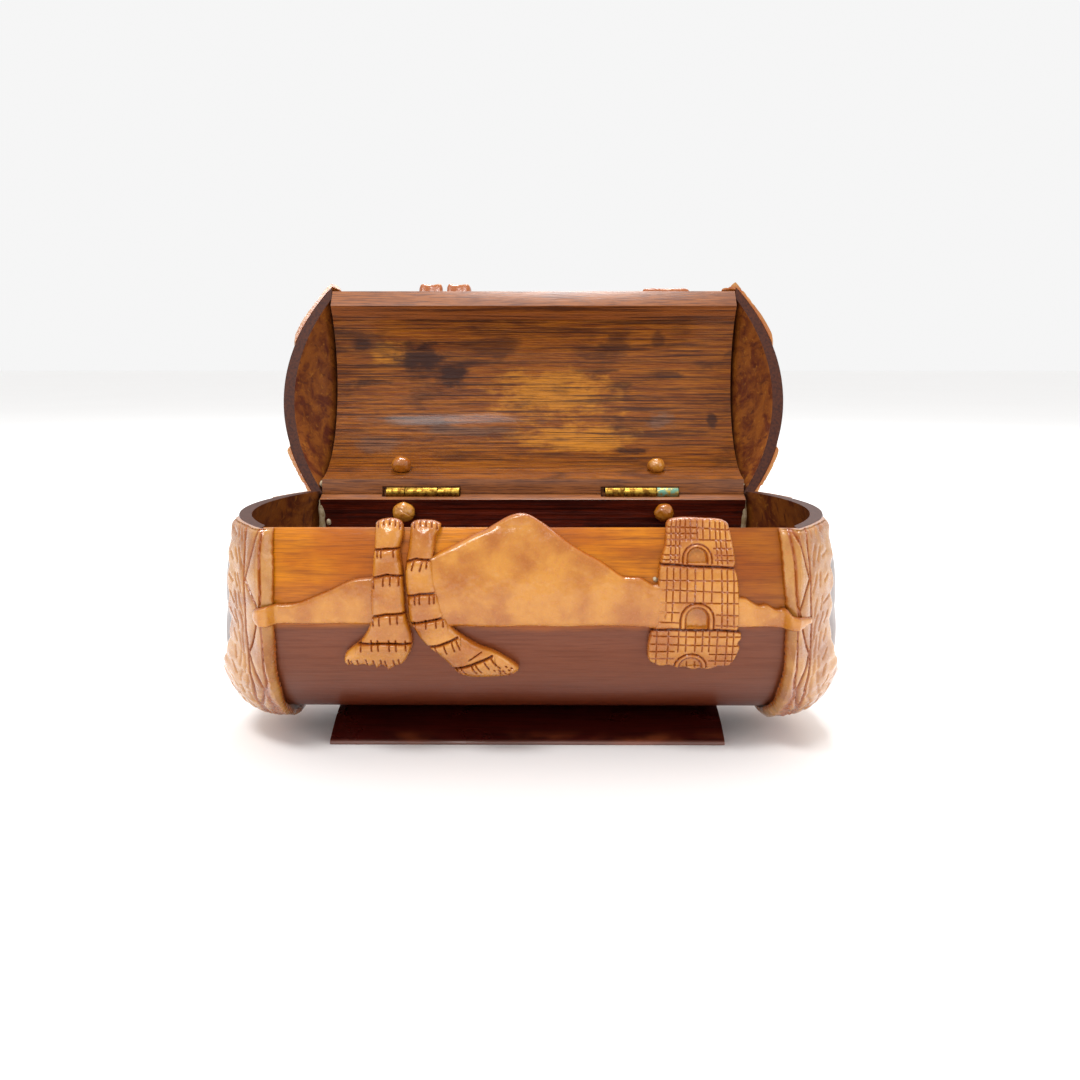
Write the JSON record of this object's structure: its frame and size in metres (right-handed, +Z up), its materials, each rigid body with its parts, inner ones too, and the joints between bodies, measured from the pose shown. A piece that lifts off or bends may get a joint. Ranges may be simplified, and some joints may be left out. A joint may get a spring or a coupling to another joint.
{
  "type": "hinged money box",
  "caption": "Hinged money box made from a split bamboo culm with coconut-shell ends, moulded putty bands and a putty relief of a tower, palms and a hill.",
  "frame": {"origin": "the middle of the object's bounding box in X and Y, on the floor under the foot, with the lid open", "axes": "+X along the culm to the right, +Y to the back where the hinges are, +Z up"},
  "size_m": [0.1904, 0.134, 0.1439],
  "materials": {
    "bamboo": "varnished bamboo, amber-brown",
    "dark_bamboo": "dark stained and varnished bamboo",
    "coconut": "polished coconut shell, mottled brown",
    "putty": "moulded wood putty, stained and varnished",
    "brass": "worn brass",
    "steel": "dull steel"
  },
  "bodies": {
    "body": {"body_shell": "bamboo", "base_foot": "dark_bamboo", "hill_left": "putty", "mountain": "putty", "hill_right": "putty", "trunk_left": "putty", "trunk_right": "putty", "tower": "putty", "body_end_left": "coconut", "body_band_left": "putty", "body_leaf_left": "brass", "hinge_pin_left": "brass", "body_nail_left": "steel", "body_bead_left": "putty", "body_end_right": "coconut", "body_band_right": "putty", "body_leaf_right": "brass", "hinge_pin_right": "brass", "body_nail_right": "steel", "body_bead_right": "putty"},
    "lid": {"lid_shell": "bamboo", "lid_trunk_left": "putty", "lid_trunk_right": "putty", "lid_tower_top": "putty", "lid_end_left": "coconut", "lid_band_left": "putty", "lid_leaf_left": "brass", "lid_nail_left": "steel", "lid_bead_left": "putty", "palm_crown_left": "putty", "lid_end_right": "coconut", "lid_band_right": "putty", "lid_leaf_right": "brass", "lid_nail_right": "steel", "lid_bead_right": "putty", "palm_crown_right": "putty"}
  },
  "joints": [
    {"name": "lid_hinge", "type": "hinge", "parent": "body", "child": "lid", "pos_m": [0, 0.01958, 0.06984], "axis": [1, 0, 0], "range_deg": [0, 113]}
  ]
}
